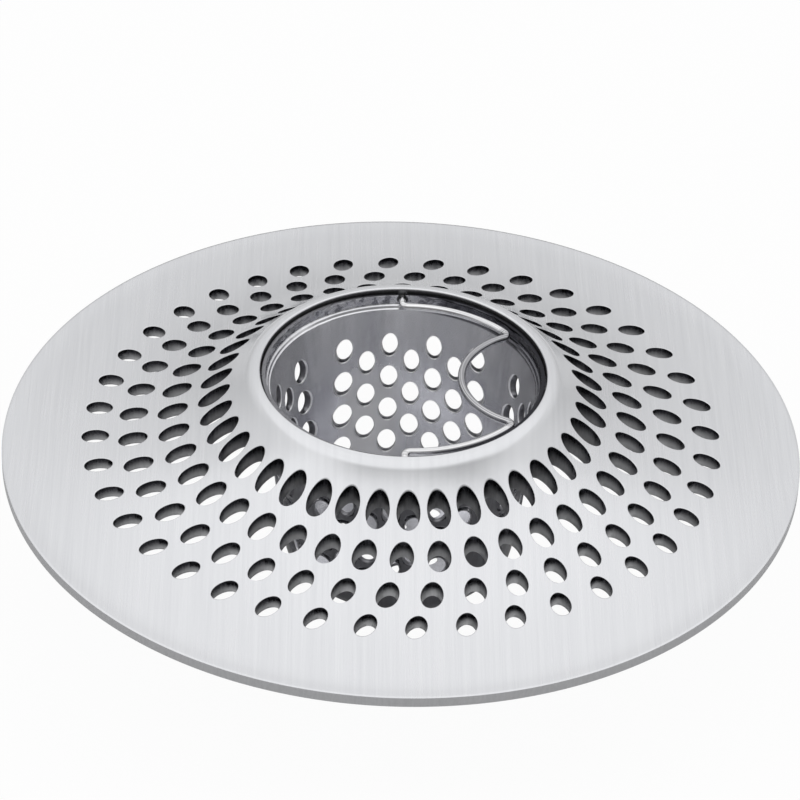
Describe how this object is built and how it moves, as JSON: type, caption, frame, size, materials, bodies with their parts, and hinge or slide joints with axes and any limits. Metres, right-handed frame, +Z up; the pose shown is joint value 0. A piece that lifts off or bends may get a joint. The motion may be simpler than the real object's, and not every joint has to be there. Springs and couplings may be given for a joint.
{
  "type": "bathtub hair catcher",
  "caption": "Perforated stainless drain cover with a raised mouth that holds a lift-out strainer basket with a folding wire bail.",
  "frame": {"origin": "centre of the plate's rim, on the plane of the rim's underside, which lies on the tub floor", "axes": "+Z up along the axis of the plate and the basket, +Y along the bail's hinge axis away from the viewer, +X towards the side the bail is folded to"},
  "size_m": [0.114, 0.114, 0.0326],
  "materials": {
    "satin_steel_plate": "satin, fine straight brush lines, collar polished brighter",
    "satin_steel_basket": "drawn steel, faint upright streaks",
    "bright_steel_wire": "bright drawn wire"
  },
  "bodies": {
    "plate": {"strainer_plate": "satin_steel_plate"},
    "basket": {"strainer_basket": "satin_steel_basket"},
    "bail": {"wire_bail": "bright_steel_wire"}
  },
  "joints": [
    {"name": "basket_lift", "type": "slide", "parent": "plate", "child": "basket", "axis": [0, 0, 1], "range_m": [0, 0.036]},
    {"name": "bail_swing", "type": "hinge", "parent": "basket", "child": "bail", "pos_m": [0, 0, 0.01278], "axis": [0, -1, 0], "range_deg": [0, 180]}
  ]
}
